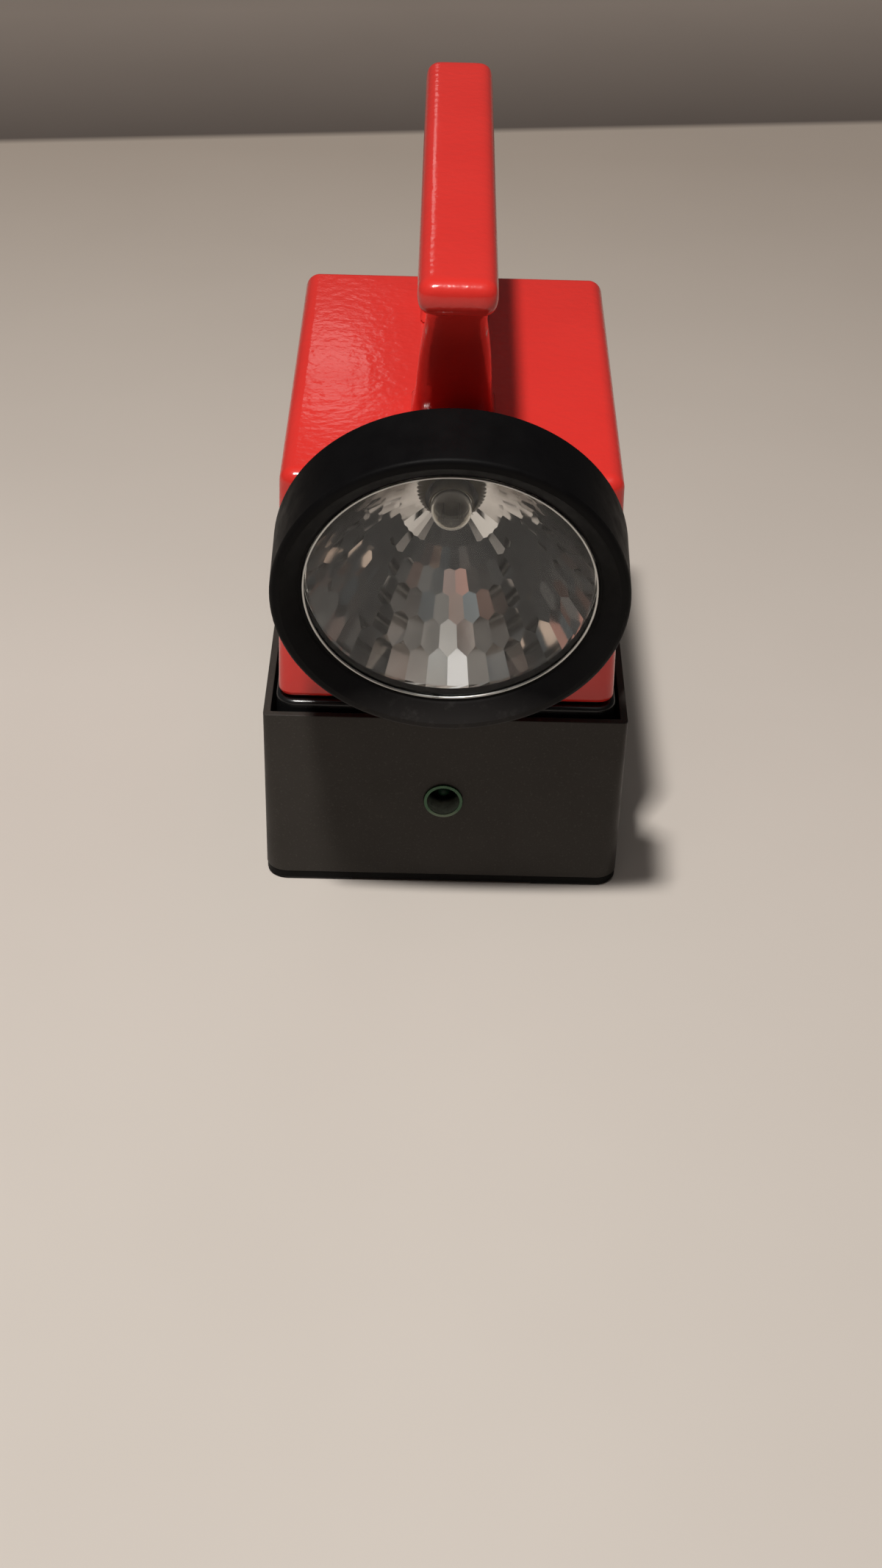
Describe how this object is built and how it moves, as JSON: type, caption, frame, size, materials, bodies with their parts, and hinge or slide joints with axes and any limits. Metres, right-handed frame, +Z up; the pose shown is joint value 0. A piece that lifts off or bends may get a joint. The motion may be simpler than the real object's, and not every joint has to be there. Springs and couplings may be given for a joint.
{
  "type": "railroad hand lantern",
  "caption": "Red rechargeable hand lantern with a carry handle, a round rubber-rimmed head and a faceted reflector, standing in its charging cradle.",
  "frame": {"origin": "On the table, under the middle of the whole outline.", "axes": "+X across the lantern, to its left hand when it faces the viewer, so to the viewer's right; +Y from the lamp end to the switch end; +Z up."},
  "size_m": [0.124, 0.2392, 0.23],
  "materials": {
    "red_paint": "glossy red enamel with a fine orange peel, lightly scuffed",
    "black_base": "moulded black, semi-gloss, fine scratches",
    "black_rubber": "black rubber, satin, scuffed grey on the lower edge",
    "cradle_grey": "dark warm grey, fine moulded grain",
    "clear_glass": "clear, polished",
    "mirror_coat": "bright aluminised, faceted",
    "brass_contact": "bright turned brass",
    "zinc_steel": "zinc plated",
    "tungsten": "dull wire",
    "cream_moulding": "cream heat resistant moulding",
    "black_moulding": "black moulding, satin",
    "battery_case": "slate grey case",
    "foam": "dense foam strip",
    "board_green": "green circuit board",
    "lead_red": "red insulated lead",
    "lead_white": "off-white insulated lead",
    "lead_black": "black insulated lead",
    "laminated_iron": "stacked iron laminations, varnished",
    "coil_tape": "brown winding tape, varnished",
    "capacitor_sleeve": "blue shrink sleeve",
    "green_bezel": "green moulding",
    "green_lamp": "translucent green",
    "spring_wire": "drawn spring wire"
  },
  "bodies": {
    "cradle": {"cradle_tray": "cradle_grey", "inlet_plate": "cradle_grey", "cradle_base_plate": "black_moulding", "cradle_feet": "black_rubber", "plate_screws": "zinc_steel", "pin_carrier": "cream_moulding", "pin_terminals": "brass_contact", "contact_spring_left": "spring_wire", "contact_spring_right": "spring_wire", "transformer_core": "laminated_iron", "transformer_coil": "coil_tape", "transformer_bracket": "zinc_steel", "charger_board": "board_green", "charger_screws": "zinc_steel", "smoothing_capacitor": "capacitor_sleeve", "bridge_rectifier": "black_moulding", "indicator_bezel": "green_bezel", "indicator_lamp": "green_lamp", "supply_grommet": "black_rubber", "supply_terminals": "cream_moulding", "charger_leads": "lead_red"},
    "lantern": {"housing": "red_paint", "handle": "red_paint", "handle_screws": "zinc_steel", "head_ring": "black_rubber", "lens": "clear_glass", "lens_gasket": "black_rubber", "reflector": "mirror_coat", "bulb_glass": "clear_glass", "bulb_filament": "tungsten", "bulb_cap": "zinc_steel", "bulb_contact": "brass_contact", "bulb_holder": "black_moulding", "lantern_base": "black_base", "base_gasket": "black_rubber", "base_screws": "zinc_steel", "contact_pads": "brass_contact", "battery": "battery_case", "battery_tabs": "brass_contact", "battery_pads": "foam", "battery_strap": "zinc_steel", "strap_screws": "zinc_steel", "switch_body": "black_moulding", "switch_nut": "zinc_steel", "switch_seal": "black_rubber", "switch_board": "board_green", "battery_leads": "lead_red", "lamp_leads": "lead_white", "charge_leads": "lead_black"},
    "selector": {"switch_shaft": "zinc_steel", "switch_knob": "black_moulding"},
    "contact_left": {"contact_pin_left": "brass_contact"},
    "contact_right": {"contact_pin_right": "brass_contact"}
  },
  "joints": [
    {"name": "lantern_lift", "type": "slide", "parent": "cradle", "child": "lantern", "axis": [0, 0, 1], "range_m": [0, 0.05]},
    {"name": "switch_turn", "type": "hinge", "parent": "lantern", "child": "selector", "pos_m": [0, 0.09843, 0.122], "axis": [0, 1, 0], "range_deg": [0, 90]},
    {"name": "contact_press_left", "type": "slide", "parent": "cradle", "child": "contact_left", "axis": [0, 0, 1], "range_m": [-0.002, 0], "stiffness_N_per_m": 300, "springref_m": 0.002, "deforming": ["contact_spring_left"]},
    {"name": "contact_press_right", "type": "slide", "parent": "cradle", "child": "contact_right", "axis": [0, 0, 1], "range_m": [-0.002, 0], "stiffness_N_per_m": 300, "springref_m": 0.002, "deforming": ["contact_spring_right"]}
  ]
}
